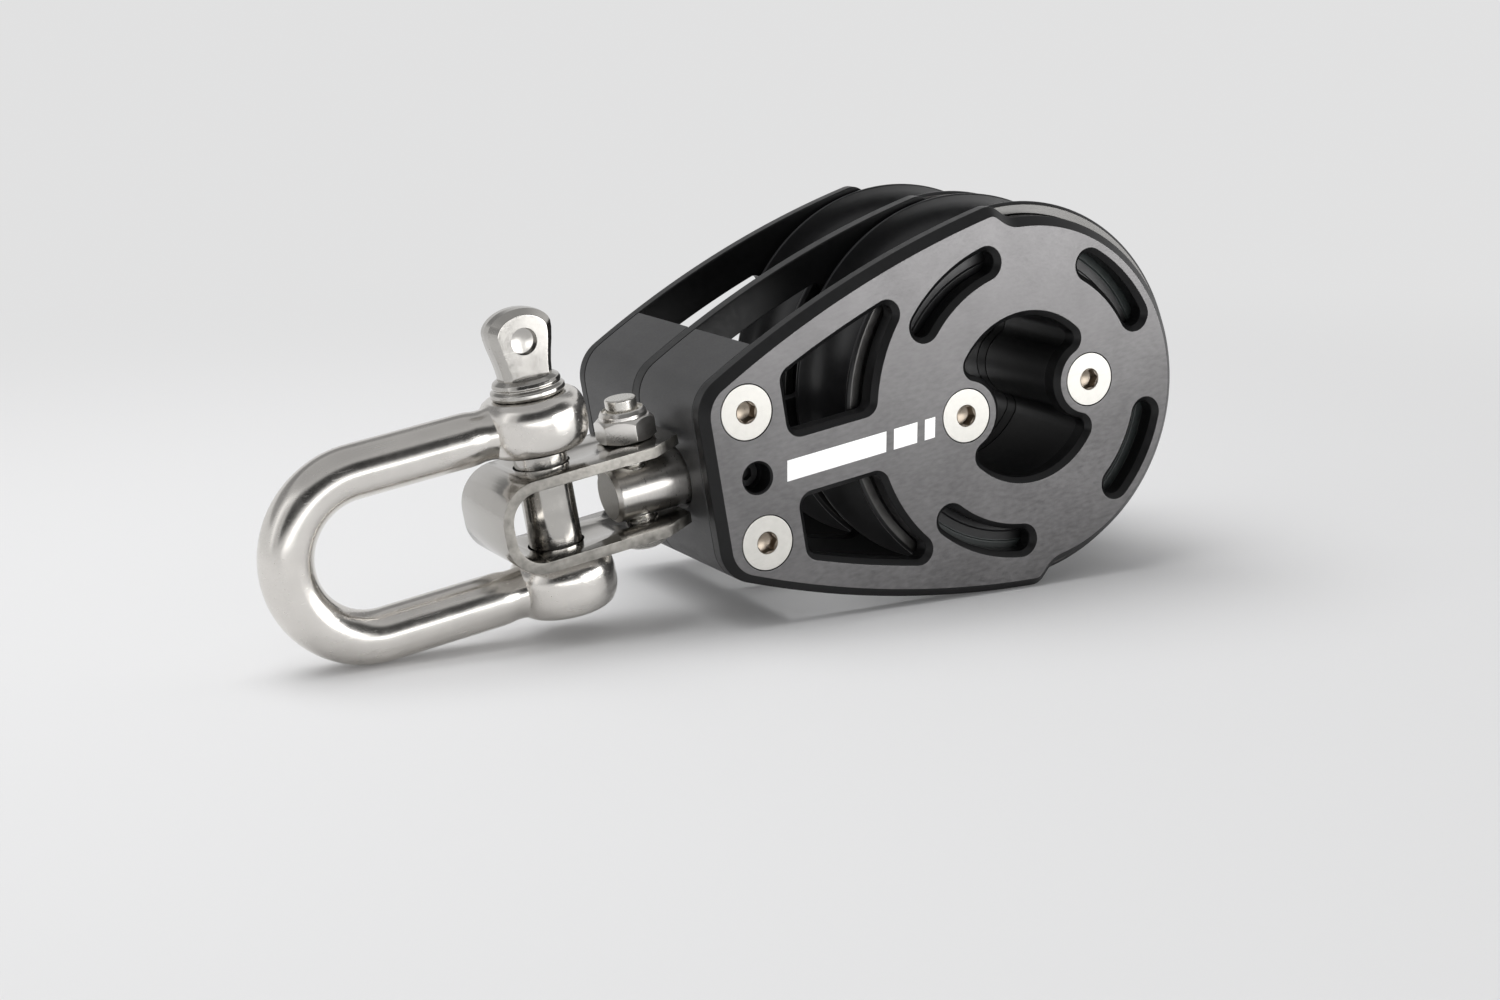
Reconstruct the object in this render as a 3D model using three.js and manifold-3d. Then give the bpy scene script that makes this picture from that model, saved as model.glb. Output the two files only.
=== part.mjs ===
// Double sheave block with a swivel post, a clevis strap and a screw-pin D shackle.
// Millimetres. Shapes are drawn about the sheave axis at the middle of the block's width,
// then moved FRAME_X along +X, so that the origin is the middle of the overall box.
// +X runs from the head to the sheave end, +Y from the near cheek to the far one, +Z is up.
import * as THREE from "three";
import { mergeVertices } from "three/addons/utils/BufferGeometryUtils.js";
import Module from "manifold-3d";

// ---- driving dimensions ----
const FRAME_X = 56.6; // from the frame's origin to the sheave axis
const GAP = 0.3; // air left between neighbouring pieces
const CHEEK_T = 4.2; // cheek plate thickness
const CENTRE_T = 3.0; // centre plate thickness
const BAY = 23.0; // clear width between a cheek and the centre plate
const HALF_W = CENTRE_T / 2 + BAY + CHEEK_T;
const BAY_Y = CENTRE_T / 2 + BAY / 2; // middle of a bay, out from the centre
const CHAMFER = 1.7; // chamfer round the outer face of a cheek
const CUT_BEVEL = 1.1; // bevel round the windows and slots of a cheek

const HEAD_X = -69.4; // front edge of the plates
const HEAD_CORNER_R = 7.7;
const SIDE_R = 210.2; // long convex sides of the plates
const SIDE_CX = 26.2;
const SIDE_CZ = 169.9;
const END_R = 35.0; // rounded end about the sheave axis
const SHOULDER_X = -3.8;
const END_START_X = 3.15;

const WIN_LEFT = -52.7; // window edges, measured at the outer face
const WIN_INNER = 5.3;
const WIN_R_IN = 33.95;
const WIN_R_OUT = 203.85;
const WIN_CORNER = 3.0;

const SLOT_R = 28.45; // arc slots, measured at the outer face
const SLOT_HALF = 3.36;
const SLOTS_DEG = [[20.9, 51.7], [101.2, 137.1]];

const HOLE_R = 17.0; // lobed centre hole
const BOSS_X = 14.4;
const BOSS_R = 6.75;
const LOBE_R = 3.0;

const BLOCK_REAR_X = -55.4; // rear face of the head blocks
const SCREW_X = -60.3; // head screws
const SCREW_Z = 12.65;
const SCREW_HEAD_R = 5.2;
const SCREW_R = 2.5;
const SCREW_LEN = 14.0;
const HEX_AF = 3.6;
const ROD_R = 3.5; // tie rods between the cheeks

const SHEAVE_R = 37.5;
const SHEAVE_HALF = 10.6;
const GROOVE_R = 29.3; // radius of the groove's floor
const BORE_R = 24.0;
const HUB_R = 19.8;
const ROLLER_R = 1.8;
const ROLLERS = 10;
const RING_IN = 25.2; // side ring set in each side of a sheave
const RING_OUT = 31.5;

const POST_Y = -BAY_Y; // the shackle gear hangs from the near head block
const POST_R = 5.35;
const POST_END_X = -83.7;
const FLANGE_R = 7.25;
const FLANGE_X = [-62.0, -58.0];
const LOCK_X = -60.2;

const BOLT_X = -78.0;
const BOLT_R = 3.0;
const STRAP_T = 2.0;
const STRAP_HALF = 10.5;
const STRAP_TOP = 9.65;
const STRAP_BOTTOM = -7.65;
const STRAP_END_X = -70.4;
const STRAP_CLOSED_X = -108.6;
const NUT_AF = 10.0;
const NUT_H = 6.0;

const PIN_X = -95.5;
const PIN_R = 5.0;
const WIRE_R = 5.0;
const LEG_Z = 15.3; // shackle legs, out from the shackle's own middle
const SHACKLE_Z = 2.3;
const CROWN_X = -130.5; // centre of the bow's half ring
const EYE_R = 10.0;
const EYE_IN = 10.3;
const EYE_OUT = 20.5;

// ---- solids ----
const wasm = await Module();
wasm.setup();

function solid(geometry) {
  const g = geometry.clone();
  g.deleteAttribute("normal");
  g.deleteAttribute("uv");
  const m = mergeVertices(g, 1e-4);
  const pos = m.attributes.position;
  const index = m.index.array;
  const kept = [];
  let volume = 0;
  const a = new THREE.Vector3();
  const b = new THREE.Vector3();
  const c = new THREE.Vector3();
  for (let i = 0; i < index.length; i += 3) {
    const [p, q, r] = [index[i], index[i + 1], index[i + 2]];
    if (p === q || q === r || r === p) continue;
    kept.push(p, q, r);
    a.fromBufferAttribute(pos, p);
    b.fromBufferAttribute(pos, q);
    c.fromBufferAttribute(pos, r);
    volume += a.dot(b.cross(c));
  }
  if (volume < 0) {
    for (let i = 0; i < kept.length; i += 3) {
      [kept[i], kept[i + 1]] = [kept[i + 1], kept[i]];
    }
  }
  return new wasm.Manifold(new wasm.Mesh({
    numProp: 3,
    vertProperties: new Float32Array(pos.array),
    triVerts: new Uint32Array(kept),
  }));
}

const root = new THREE.Group();
root.name = "double_sheave_block";

function addNode(name, body, material) {
  const out = body.getMesh();
  const g = new THREE.BufferGeometry();
  g.setAttribute("position", new THREE.BufferAttribute(new Float32Array(out.vertProperties), 3));
  g.setIndex(new THREE.BufferAttribute(new Uint32Array(out.triVerts), 1));
  g.translate(FRAME_X, 0, 0);
  g.computeVertexNormals();
  const mesh = new THREE.Mesh(g, material);
  mesh.name = name;
  root.add(mesh);
}

// A box given by its low and high corners.
function block(lo, hi) {
  const g = new THREE.BoxGeometry(hi[0] - lo[0], hi[1] - lo[1], hi[2] - lo[2]);
  g.translate((lo[0] + hi[0]) / 2, (lo[1] + hi[1]) / 2, (lo[2] + hi[2]) / 2);
  return solid(g);
}

// An outline in the XZ plane, extruded from y0 to y1.
function slab(points, y0, y1) {
  const g = new THREE.ExtrudeGeometry(new THREE.Shape(points), {
    depth: y1 - y0, bevelEnabled: false,
  });
  g.rotateX(Math.PI / 2);
  g.translate(0, y1, 0);
  return solid(g);
}

// As slab, with both faces chamfered inward.
function bevelledSlab(points, y0, y1, bevel) {
  const g = new THREE.ExtrudeGeometry(new THREE.Shape(points), {
    depth: y1 - y0 - 2 * bevel, bevelEnabled: true, bevelSegments: 1,
    bevelThickness: bevel, bevelSize: bevel, bevelOffset: -bevel,
  });
  g.rotateX(Math.PI / 2);
  g.translate(0, y1 - bevel, 0);
  return solid(g);
}

// A body through matching outlines, each given with its place along Y.
function loft(sections) {
  const count = sections[0][0].length;
  const vertices = [];
  const triangles = [];
  for (const [points, y] of sections) {
    for (const p of points) vertices.push(p.x, y, p.y);
  }
  for (let k = 0; k + 1 < sections.length; k++) {
    for (let i = 0; i < count; i++) {
      const a = k * count + i;
      const b = k * count + (i + 1) % count;
      triangles.push(a, b, b + count, a, b + count, a + count);
    }
  }
  const last = (sections.length - 1) * count;
  for (const [i, j, k] of THREE.ShapeUtils.triangulateShape(sections[0][0], [])) {
    triangles.push(i, k, j);
    triangles.push(last + i, last + j, last + k);
  }
  const g = new THREE.BufferGeometry();
  g.setAttribute("position", new THREE.Float32BufferAttribute(vertices, 3));
  g.setIndex(triangles);
  return solid(g);
}

// A turned body: a profile of [radius, height] pairs about an axis through a point.
function turned(profile, axis, at, segments = 24) {
  const points = profile.map(([r, h]) => new THREE.Vector2(r, h));
  const g = new THREE.LatheGeometry(points, segments);
  if (axis === "x") g.rotateZ(-Math.PI / 2);
  if (axis === "z") g.rotateX(Math.PI / 2);
  g.translate(at[0], at[1], at[2]);
  return solid(g);
}

function rod(r, h0, h1, axis, at, segments = 16) {
  return turned([[0, h0], [r, h0], [r, h1], [0, h1]], axis, at, segments);
}

function ring(rIn, rOut, h0, h1, axis, at, segments = 32) {
  const profile = [[rIn, h0], [rOut, h0], [rOut, h1], [rIn, h1], [rIn, h0]];
  return turned(profile, axis, at, segments);
}

// A hexagonal prism along an axis.
function hex(acrossFlats, h0, h1, axis, at) {
  return rod(acrossFlats / Math.sqrt(3), h0, h1, axis, at, 6);
}

function join(bodies) {
  return bodies.reduce((a, b) => a.add(b));
}

// ---- outlines in the XZ plane ----
function arc(cx, cz, r, a0, a1, n) {
  const points = [];
  for (let i = 0; i <= n; i++) {
    const a = a0 + (a1 - a0) * i / n;
    points.push(new THREE.Vector2(cx + r * Math.cos(a), cz + r * Math.sin(a)));
  }
  return points;
}

function tidy(points) {
  const out = [];
  for (const p of points) {
    if (!out.length || out[out.length - 1].distanceTo(p) > 0.01) out.push(p);
  }
  if (out[0].distanceTo(out[out.length - 1]) < 0.01) out.pop();
  return out;
}

function mirrorZ(points) {
  return points.map((p) => new THREE.Vector2(p.x, -p.y)).reverse();
}

// The two crossings of two circles.
function crossing(ax, az, ar, bx, bz, br) {
  const d = Math.hypot(bx - ax, bz - az);
  const t = (ar * ar - br * br + d * d) / (2 * d);
  const h = Math.sqrt(ar * ar - t * t);
  const ux = (bx - ax) / d;
  const uz = (bz - az) / d;
  const one = [ax + t * ux - h * uz, az + t * uz + h * ux];
  const two = [ax + t * ux + h * uz, az + t * uz - h * ux];
  return [one, two];
}

// The plate: straight front edge, long convex sides, a shoulder, a round end.
function plateOutline() {
  const cornerX = HEAD_X + HEAD_CORNER_R;
  const reach = SIDE_R - HEAD_CORNER_R;
  const cornerZ = -SIDE_CZ + Math.sqrt(reach ** 2 - (cornerX - SIDE_CX) ** 2);
  const a0 = Math.atan2(cornerZ + SIDE_CZ, cornerX - SIDE_CX);
  const shoulderZ = -SIDE_CZ + Math.sqrt(SIDE_R ** 2 - (SHOULDER_X - SIDE_CX) ** 2);
  const a1 = Math.atan2(shoulderZ + SIDE_CZ, SHOULDER_X - SIDE_CX);
  const endZ = Math.sqrt(END_R ** 2 - END_START_X ** 2);
  const e0 = Math.atan2(endZ, END_START_X);
  const p1 = new THREE.Vector2(SHOULDER_X, shoulderZ);
  const p2 = new THREE.Vector2(END_START_X, endZ);
  const t1 = new THREE.Vector2(Math.sin(a1), -Math.cos(a1)).multiplyScalar(3.4);
  const t2 = new THREE.Vector2(Math.sin(e0), -Math.cos(e0)).multiplyScalar(3.4);
  const step = new THREE.CubicBezierCurve(p1, p1.clone().add(t1), p2.clone().sub(t2), p2);
  const upper = tidy([
    ...arc(cornerX, cornerZ, HEAD_CORNER_R, Math.PI, a0, 5),
    ...arc(SIDE_CX, -SIDE_CZ, SIDE_R, a0, a1, 8),
    ...step.getPoints(5),
    ...arc(0, 0, END_R, e0, 0, 12),
  ]);
  return tidy([...upper, ...mirrorZ(upper)]);
}

// One window, drawn `grow` larger all round than at the cheek's outer face.
function windowOutline(grow) {
  const r = WIN_CORNER;
  const innerLeft = [WIN_LEFT + r, WIN_INNER + r];
  const innerRight = [-Math.sqrt((WIN_R_IN + r) ** 2 - (WIN_INNER + r) ** 2), WIN_INNER + r];
  const pair = crossing(0, 0, WIN_R_IN + r, SIDE_CX, -SIDE_CZ, WIN_R_OUT - r);
  const tip = pair[0][0] < pair[1][0] ? pair[0] : pair[1];
  const topZ = -SIDE_CZ + Math.sqrt((WIN_R_OUT - r) ** 2 - (innerLeft[0] - SIDE_CX) ** 2);
  const topLeft = [innerLeft[0], topZ];
  const rr = r + grow;
  const aTip = Math.atan2(tip[1], tip[0]);
  const aIn = Math.atan2(innerRight[1], innerRight[0]);
  const aOutTip = Math.atan2(tip[1] + SIDE_CZ, tip[0] - SIDE_CX);
  const aOutLeft = Math.atan2(topLeft[1] + SIDE_CZ, topLeft[0] - SIDE_CX);
  return tidy([
    ...arc(innerLeft[0], innerLeft[1], rr, Math.PI, 1.5 * Math.PI, 3),
    ...arc(innerRight[0], innerRight[1], rr, -0.5 * Math.PI, aIn - Math.PI, 3),
    ...arc(0, 0, WIN_R_IN - grow, aIn, aTip, 5),
    ...arc(tip[0], tip[1], rr, aTip - Math.PI, aOutTip, 5),
    ...arc(SIDE_CX, -SIDE_CZ, WIN_R_OUT + grow, aOutTip, aOutLeft, 4),
    ...arc(topLeft[0], topLeft[1], rr, aOutLeft, Math.PI, 3),
  ]);
}

function slotOutline(from, to, grow) {
  const a0 = from * Math.PI / 180;
  const a1 = to * Math.PI / 180;
  const h = SLOT_HALF + grow;
  return tidy([
    ...arc(0, 0, SLOT_R + h, a0, a1, 5),
    ...arc(SLOT_R * Math.cos(a1), SLOT_R * Math.sin(a1), h, a1, a1 + Math.PI, 5),
    ...arc(0, 0, SLOT_R - h, a1, a0, 5),
    ...arc(SLOT_R * Math.cos(a0), SLOT_R * Math.sin(a0), h, a0 + Math.PI, a0 + 2 * Math.PI, 5),
  ]);
}

// The lobed hole: a circle with a round boss standing into it on each side.
function lobedOutline(grow) {
  const pair = crossing(0, 0, HOLE_R - LOBE_R, BOSS_X, 0, BOSS_R + LOBE_R);
  const c = pair[0][1] > 0 ? pair[0] : pair[1];
  const aRing = Math.atan2(c[1], c[0]);
  const aBoss = Math.atan2(c[1], c[0] - BOSS_X);
  const quarter = [
    ...arc(BOSS_X, 0, BOSS_R - grow, Math.PI, aBoss, 4),
    ...arc(c[0], c[1], LOBE_R + grow, aBoss - Math.PI, aRing, 4),
    ...arc(0, 0, HOLE_R + grow, aRing, Math.PI / 2, 3),
  ];
  const left = quarter.map((p) => new THREE.Vector2(-p.x, p.y)).reverse();
  const half = tidy([...quarter, ...left]);
  return tidy([...half, ...mirrorZ(half)]);
}

// ---- materials ----
function paint(color, metalness, roughness) {
  return new THREE.MeshStandardMaterial({ color, metalness, roughness });
}
const anodised = paint(0x6b6b6d, 0.7, 0.45);
const blackSatin = paint(0x1c1c1e, 0.5, 0.45);
const headSatin = paint(0x4d4d4f, 0.6, 0.5);
const darkHub = paint(0x26262a, 0.5, 0.5);
const greyRing = paint(0x6f736c, 0.0, 0.6);
const polished = paint(0xdcdad6, 1.0, 0.15);
const stainless = paint(0xc4c2be, 1.0, 0.25);
const satinSteel = paint(0xaeaeac, 1.0, 0.4);
const nylon = paint(0xe6e4dc, 0.0, 0.5);
const cagePlastic = paint(0x202022, 0.0, 0.6);

// ---- plates ----
const plate = plateOutline();
const screwSpots = [
  ["head_top", SCREW_X, SCREW_Z],
  ["head_bottom", SCREW_X, -SCREW_Z],
  ["hub_front", -BOSS_X, 0],
  ["hub_rear", BOSS_X, 0],
];

// All windows and slots, each drawn for a given growth.
function cutOutlines(grow) {
  const out = [windowOutline(grow)];
  for (const [from, to] of SLOTS_DEG) out.push(slotOutline(from, to, grow));
  for (const points of [...out]) out.push(mirrorZ(points));
  out.push(lobedOutline(grow));
  return out;
}

// Mirror a body about the XZ plane.
function flipY(body) {
  return body.mirror([0, 1, 0]);
}

// The near cheek; the far one is its mirror image, less the lock screw's hole.
function cheek(withLockHole) {
  const inner = -HALF_W + CHEEK_T;
  let body = bevelledSlab(plate, -HALF_W, inner + CHEEK_T, CHAMFER);
  body = body.intersect(block([-90, -HALF_W - 1, -60], [60, inner, 60]));
  const wide = cutOutlines(1);
  const narrow = cutOutlines(-CUT_BEVEL);
  for (let i = 0; i < wide.length; i++) {
    body = body.subtract(loft([
      [wide[i], -HALF_W - 1],
      [narrow[i], -HALF_W + CUT_BEVEL],
      [narrow[i], inner + 1],
    ]));
  }
  for (const [, x, z] of screwSpots) {
    const r = SCREW_HEAD_R + GAP;
    const well = [[0, -1], [r, -1], [r, 0.25], [SCREW_R + GAP, 0.25 + r - SCREW_R - GAP],
      [SCREW_R + GAP, CHEEK_T + 1], [0, CHEEK_T + 1]];
    body = body.subtract(turned(well, "y", [x, -HALF_W, z]));
  }
  if (withLockHole) {
    body = body.subtract(rod(2.85, -1, CHEEK_T + 1, "y", [LOCK_X, -HALF_W, 0]));
  }
  return body;
}
addNode("near_cheek", cheek(true), anodised);
addNode("far_cheek", flipY(cheek(false)), anodised);

let centre = slab(plate, -CENTRE_T / 2, CENTRE_T / 2);
for (const points of cutOutlines(0)) {
  centre = centre.subtract(slab(points, -CENTRE_T, CENTRE_T));
}
for (const [, x, z] of screwSpots) {
  centre = centre.subtract(rod(ROD_R + GAP, -CENTRE_T, CENTRE_T, "y", [x, 0, z]));
}
addNode("centre_plate", centre, blackSatin);

// ---- head blocks ----
function headBlock() {
  const y0 = -HALF_W + CHEEK_T + GAP;
  const y1 = -CENTRE_T / 2 - GAP;
  let body = slab(plate, y0, y1);
  body = body.intersect(block([-90, -60, -60], [BLOCK_REAR_X, 0, 60]));
  for (const side of [1, -1]) {
    body = body.subtract(rod(ROD_R + GAP, -30, 0, "y", [SCREW_X, 0, side * SCREW_Z]));
  }
  return body;
}
const shoulderX = FLANGE_X[0] - 1.4;
let nearBlock = headBlock();
nearBlock = nearBlock.subtract(rod(POST_R + GAP, -90, BLOCK_REAR_X, "x", [0, POST_Y, 0], 24));
nearBlock = nearBlock.subtract(rod(FLANGE_R + GAP, shoulderX, -50, "x", [0, POST_Y, 0], 24));
nearBlock = nearBlock.subtract(rod(SCREW_R + GAP, -30, POST_Y, "y", [LOCK_X, 0, 0]));
addNode("head_block_near", nearBlock, headSatin);
addNode("head_block_far", flipY(headBlock()), headSatin);

// ---- sheaves, hubs, bearings ----
function sheaveProfile() {
  const lip = SHEAVE_HALF - 1.3;
  const profile = [
    [BORE_R, -SHEAVE_HALF], [RING_IN - GAP, -SHEAVE_HALF], [RING_IN - GAP, -lip],
    [RING_OUT + GAP, -lip], [RING_OUT + GAP, -SHEAVE_HALF], [SHEAVE_R - 0.5, -SHEAVE_HALF],
    [SHEAVE_R, -SHEAVE_HALF + 0.5],
  ];
  const half = SHEAVE_HALF - 1.3;
  for (let i = 0; i <= 6; i++) {
    const a = Math.PI * i / 6;
    const depth = (SHEAVE_R - GROOVE_R) * Math.sin(a);
    profile.push([SHEAVE_R - depth, -half * Math.cos(a)]);
  }
  profile.push(
    [SHEAVE_R, SHEAVE_HALF - 0.5], [SHEAVE_R - 0.5, SHEAVE_HALF],
    [RING_OUT + GAP, SHEAVE_HALF], [RING_OUT + GAP, lip], [RING_IN - GAP, lip],
    [RING_IN - GAP, SHEAVE_HALF], [BORE_R, SHEAVE_HALF], [BORE_R, -SHEAVE_HALF],
  );
  return profile;
}

function hub(y) {
  const half = BAY / 2 - GAP;
  let body = rod(HUB_R, -half, half, "y", [0, y, 0], 40);
  body = body.subtract(slab(lobedOutline(0), y - BAY, y + BAY));
  for (const side of [1, -1]) {
    body = body.subtract(rod(ROD_R + GAP, -BAY, BAY, "y", [side * BOSS_X, y, 0]));
  }
  return body;
}

function rollerCage(y) {
  const pitch = (BORE_R + HUB_R) / 2;
  const parts = [
    ring(pitch - 1.2, pitch + 1.2, -10.8, -9.4, "y", [0, y, 0]),
    ring(pitch - 1.2, pitch + 1.2, 9.4, 10.8, "y", [0, y, 0]),
  ];
  for (let i = 0; i < ROLLERS; i++) {
    const a = 2 * Math.PI * (i + 0.5) / ROLLERS;
    const at = [pitch * Math.cos(a), y, pitch * Math.sin(a)];
    parts.push(rod(ROLLER_R, -9.6, 9.6, "y", at, 8));
  }
  return join(parts);
}

for (const [side, name] of [[-1, "near"], [1, "far"]]) {
  const y = side * BAY_Y;
  addNode(`sheave_${name}`, turned(sheaveProfile(), "y", [0, y, 0], 36), blackSatin);
  addNode(`hub_${name}`, hub(y), darkHub);
  addNode(`roller_cage_${name}`, rollerCage(y), cagePlastic);
  const outside = ring(RING_IN, RING_OUT, 9.6, 10.9, "y", [0, 0, 0]);
  const shifted = [outside.translate([0, y, 0]), flipY(outside).translate([0, y, 0])];
  addNode(`side_ring_${name}_outer`, side < 0 ? shifted[1] : shifted[0], greyRing);
  addNode(`side_ring_${name}_inner`, side < 0 ? shifted[0] : shifted[1], greyRing);
}

// ---- tie rods and screws ----
function tieRod(x, z) {
  const end = HALF_W - CHEEK_T - GAP;
  let body = rod(ROD_R, -end, end, "y", [x, 0, z]);
  for (const side of [-1, 1]) {
    const hole = rod(SCREW_R + GAP, side * end - 11.5, side * end + 11.5, "y", [x, 0, z], 20);
    body = body.subtract(hole);
  }
  return body;
}

// A countersunk socket screw, its flat head at the near cheek's face.
function screw(x, z) {
  const cone = SCREW_HEAD_R - SCREW_R;
  const profile = [[0, 0], [SCREW_HEAD_R - 0.25, 0], [SCREW_HEAD_R, 0.25],
    [SCREW_R, 0.25 + cone], [SCREW_R, SCREW_LEN - 0.5], [SCREW_R - 0.5, SCREW_LEN],
    [0, SCREW_LEN]];
  const body = turned(profile, "y", [x, -HALF_W, z]);
  return body.subtract(hex(HEX_AF, -1, 2.2, "y", [x, -HALF_W, z]));
}

for (const [name, x, z] of screwSpots) {
  addNode(`tie_rod_${name}`, tieRod(x, z), satinSteel);
  addNode(`screw_near_${name}`, screw(x, z), polished);
  addNode(`screw_far_${name}`, flipY(screw(x, z)), polished);
}

// ---- swivel post ----
const grooveHalf = 1.2;
let post = turned([
  [0, POST_END_X], [POST_R - 0.9, POST_END_X], [POST_R, POST_END_X + 0.9],
  [POST_R, FLANGE_X[0]], [FLANGE_R, FLANGE_X[0]], [FLANGE_R, LOCK_X - grooveHalf],
  [6.0, LOCK_X - grooveHalf], [6.0, LOCK_X + grooveHalf], [FLANGE_R, LOCK_X + grooveHalf],
  [FLANGE_R, FLANGE_X[1]], [0, FLANGE_X[1]],
], "x", [0, POST_Y, 0]);
post = post.subtract(rod(BOLT_R + GAP, -20, 20, "z", [BOLT_X, POST_Y, 0]));
addNode("swivel_post", post, satinSteel);

const washerX = FLANGE_X[0] - GAP;
const washer = ring(POST_R + GAP, FLANGE_R, washerX - 0.8, washerX, "x", [0, POST_Y, 0], 24);
addNode("thrust_washer", washer, greyRing);

const lock = turned([
  [0, -23.6], [SCREW_R, -23.6], [SCREW_R, -21.0], [1.9, -20.6], [0.9, -20.6],
  [0.9, -19.4], [0, -19.4],
], "y", [LOCK_X, 0, 0], 16);
addNode("lock_screw", lock.subtract(hex(2.5, -30, -22.2, "y", [LOCK_X, 0, 0])), satinSteel);

// ---- strap and cross bolt ----
function strapOutline() {
  const r = 7.4;
  const s = r - STRAP_T;
  const left = STRAP_CLOSED_X + r;
  const top = STRAP_TOP - r;
  const bottom = STRAP_BOTTOM + r;
  const outside = [
    new THREE.Vector2(STRAP_END_X, STRAP_TOP),
    ...arc(left, top, r, Math.PI / 2, Math.PI, 5),
    ...arc(left, bottom, r, Math.PI, 1.5 * Math.PI, 5),
    new THREE.Vector2(STRAP_END_X, STRAP_BOTTOM),
  ];
  const inside = [
    new THREE.Vector2(STRAP_END_X, STRAP_BOTTOM + STRAP_T),
    ...arc(left, bottom, s, 1.5 * Math.PI, Math.PI, 5),
    ...arc(left, top, s, Math.PI, Math.PI / 2, 5),
    new THREE.Vector2(STRAP_END_X, STRAP_TOP - STRAP_T),
  ];
  return tidy([...outside, ...inside]);
}

// Plan view of the strap: facets narrow the open ends.
function strapPlan() {
  const facetX = -77.3;
  const endHalf = 5.9;
  const points = [
    [-120, -STRAP_HALF], [facetX, -STRAP_HALF], [STRAP_END_X, -endHalf],
    [STRAP_END_X, endHalf], [facetX, STRAP_HALF], [-120, STRAP_HALF],
  ].map(([x, y]) => new THREE.Vector2(x, y));
  const g = new THREE.ExtrudeGeometry(new THREE.Shape(points), {
    depth: 40, bevelEnabled: false,
  });
  g.translate(0, POST_Y, -20);
  return solid(g);
}

let strap = slab(strapOutline(), POST_Y - STRAP_HALF, POST_Y + STRAP_HALF);
strap = strap.intersect(strapPlan());
strap = strap.subtract(rod(BOLT_R + GAP, -20, 20, "z", [BOLT_X, POST_Y, 0]));
strap = strap.subtract(rod(PIN_R + GAP, -20, 20, "z", [PIN_X, POST_Y, 0], 24));
addNode("strap", strap, stainless);

const headTop = STRAP_BOTTOM - GAP;
const nutFoot = STRAP_TOP + GAP;
let bolt = turned([
  [0, headTop - 3.3], [2.6, headTop - 3.3], [3.9, headTop - 2.7], [4.9, headTop - 1.6],
  [5.25, headTop - 0.4], [5.25, headTop], [BOLT_R, headTop], [BOLT_R, 17.2],
  [BOLT_R - 0.5, 17.7], [0, 17.7],
], "z", [BOLT_X, POST_Y, 0]);
bolt = bolt.subtract(hex(4.0, headTop - 5, headTop - 1.3, "z", [BOLT_X, POST_Y, 0]));
addNode("cross_bolt", bolt, satinSteel);

const at = [BOLT_X, POST_Y, nutFoot];
const corner = NUT_AF / Math.sqrt(3);
const crown = turned([
  [0, 0], [NUT_AF / 2 - 0.1, 0], [corner + 0.1, 0.5], [corner + 0.1, NUT_H - 1.6],
  [NUT_AF / 2 - 0.1, NUT_H - 1.0], [NUT_AF / 2 - 0.2, NUT_H - 0.3],
  [NUT_AF / 2 - 0.5, NUT_H], [0, NUT_H],
], "z", at, 24);
let nut = hex(NUT_AF, 0, NUT_H, "z", at).intersect(crown);
nut = nut.subtract(rod(BOLT_R + GAP, -1, NUT_H + 1, "z", at));
nut = nut.subtract(ring(BOLT_R, 3.9 + GAP, NUT_H - 2.2, NUT_H - 0.3, "z", at, 20));
addNode("lock_nut", nut, satinSteel);
const insert = ring(BOLT_R + GAP, 3.9, NUT_H - 1.9, NUT_H - 0.6, "z", at, 20);
addNode("nut_insert", insert, nylon);

// ---- shackle ----
const torus = new THREE.TorusGeometry(LEG_Z, WIRE_R, 14, 32);
torus.rotateX(Math.PI / 2);
torus.translate(CROWN_X, POST_Y, SHACKLE_Z);
let bow = solid(torus).intersect(block([-170, -40, -40], [CROWN_X, 20, 50]));
for (const side of [1, -1]) {
  const legZ = SHACKLE_Z + side * LEG_Z;
  bow = bow.add(rod(WIRE_R, CROWN_X - 0.01, PIN_X, "x", [0, POST_Y, legZ], 14));
  const h0 = side * EYE_IN;
  const h1 = side * EYE_OUT;
  const c = side * 0.8;
  const eye = turned([
    [0, h0], [EYE_R - 0.8, h0], [EYE_R, h0 + c], [EYE_R, h1 - c], [EYE_R - 0.8, h1], [0, h1],
  ], "z", [PIN_X, POST_Y, SHACKLE_Z], 28);
  bow = bow.add(eye);
}
bow = bow.subtract(rod(PIN_R + GAP, -40, 40, "z", [PIN_X, POST_Y, SHACKLE_Z], 24));
for (const side of [1, -1]) {
  const h = [side * (EYE_IN - 6), side * EYE_IN].sort((p, q) => p - q);
  const relief = rod(EYE_R + 0.3, h[0], h[1], "z", [PIN_X, POST_Y, SHACKLE_Z], 28);
  bow = bow.subtract(relief);
}
addNode("shackle_bow", bow, stainless);

const collarZ = SHACKLE_Z + EYE_OUT + GAP;
let pin = turned([
  [0, SHACKLE_Z - EYE_OUT + 0.4], [PIN_R - 1, SHACKLE_Z - EYE_OUT + 0.4],
  [PIN_R, SHACKLE_Z - EYE_OUT + 1.4], [PIN_R, collarZ], [6.5, collarZ], [6.9, collarZ + 0.4],
  [6.9, collarZ + 2.3], [6.4, collarZ + 2.8], [0, collarZ + 2.8],
], "z", [PIN_X, POST_Y, 0]);
const headZ = collarZ + 2.6;
const paddle = tidy([
  new THREE.Vector2(PIN_X - 5.6, headZ),
  new THREE.Vector2(PIN_X + 5.6, headZ),
  new THREE.Vector2(PIN_X + 6.3, headZ + 2.6),
  ...arc(PIN_X, headZ + 7.2, 6.4, 0, Math.PI, 10),
  new THREE.Vector2(PIN_X - 6.3, headZ + 2.6),
]);
pin = pin.add(bevelledSlab(paddle, POST_Y - 3, POST_Y + 3, 0.6));
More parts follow.
